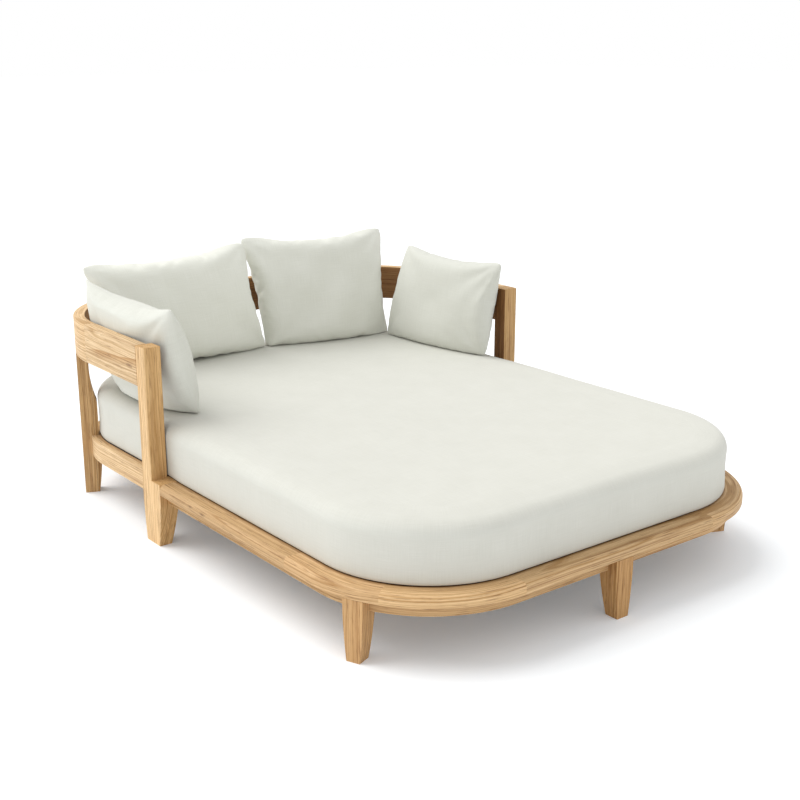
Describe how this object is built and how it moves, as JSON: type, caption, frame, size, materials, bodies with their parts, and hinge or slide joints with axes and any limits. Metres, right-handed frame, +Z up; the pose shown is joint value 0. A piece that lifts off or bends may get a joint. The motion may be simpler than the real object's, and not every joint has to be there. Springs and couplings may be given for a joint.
{
  "type": "outdoor daybed",
  "caption": "Wide low timber daybed with rounded corners, a curved rail round the head end, a slatted deck, a thick mattress and loose pillows, for lounging outdoors",
  "frame": {"origin": "On the floor under the middle of the plan outline, midway between the two sides and between the foot end and the back", "axes": "+X to the right seen from the foot end, +Y towards the head end, +Z up"},
  "size_m": [1.5, 2.041, 0.7789],
  "materials": {
    "teak": "satin",
    "dowel_wood": "matte",
    "screw_steel": "satin",
    "mattress_fabric": "matte",
    "pillow_fabric": "matte"
  },
  "bodies": {
    "root": {"apron_dowels": "dowel_wood", "arm_post_left": "teak", "arm_post_right": "teak", "arm_rail_left": "teak", "arm_rail_right": "teak", "back_corner_rail_left": "teak", "back_corner_rail_right": "teak", "back_rail": "teak", "centre_bearer": "teak", "front_apron_left": "teak", "front_apron_right": "teak", "front_centre_leg": "teak", "front_corner_leg_left": "teak", "front_corner_leg_right": "teak", "front_side_apron_left": "teak", "front_side_apron_right": "teak", "ledger_left": "teak", "ledger_right": "teak", "ledger_screws": "screw_steel", "mattress": "mattress_fabric", "pillow_arm_left": "pillow_fabric", "pillow_arm_right": "pillow_fabric", "pillow_back_left": "pillow_fabric", "pillow_back_right": "pillow_fabric", "platform_bend_rail_left": "teak", "platform_bend_rail_right": "teak", "platform_corner_rail_left": "teak", "platform_corner_rail_right": "teak", "platform_dowels": "dowel_wood", "platform_front_rail": "teak", "platform_screws": "screw_steel", "platform_side_rail_left": "teak", "platform_side_rail_right": "teak", "rear_apron_left": "teak", "rear_apron_right": "teak", "rear_centre_post": "teak", "rear_corner_post_left": "teak", "rear_corner_post_right": "teak", "rear_side_apron_left": "teak", "rear_side_apron_right": "teak", "side_bearer_left": "teak", "side_bearer_right": "teak", "slat_01": "teak", "slat_02": "teak", "slat_03": "teak", "slat_04": "teak", "slat_05": "teak", "slat_06": "teak", "slat_07": "teak", "slat_08": "teak", "slat_09": "teak", "slat_10": "teak", "slat_11": "teak", "slat_12": "teak", "slat_13": "teak", "slat_14": "teak", "slat_15": "teak", "slat_screws": "screw_steel", "top_rail_dowels": "dowel_wood"}
  },
  "joints": []
}
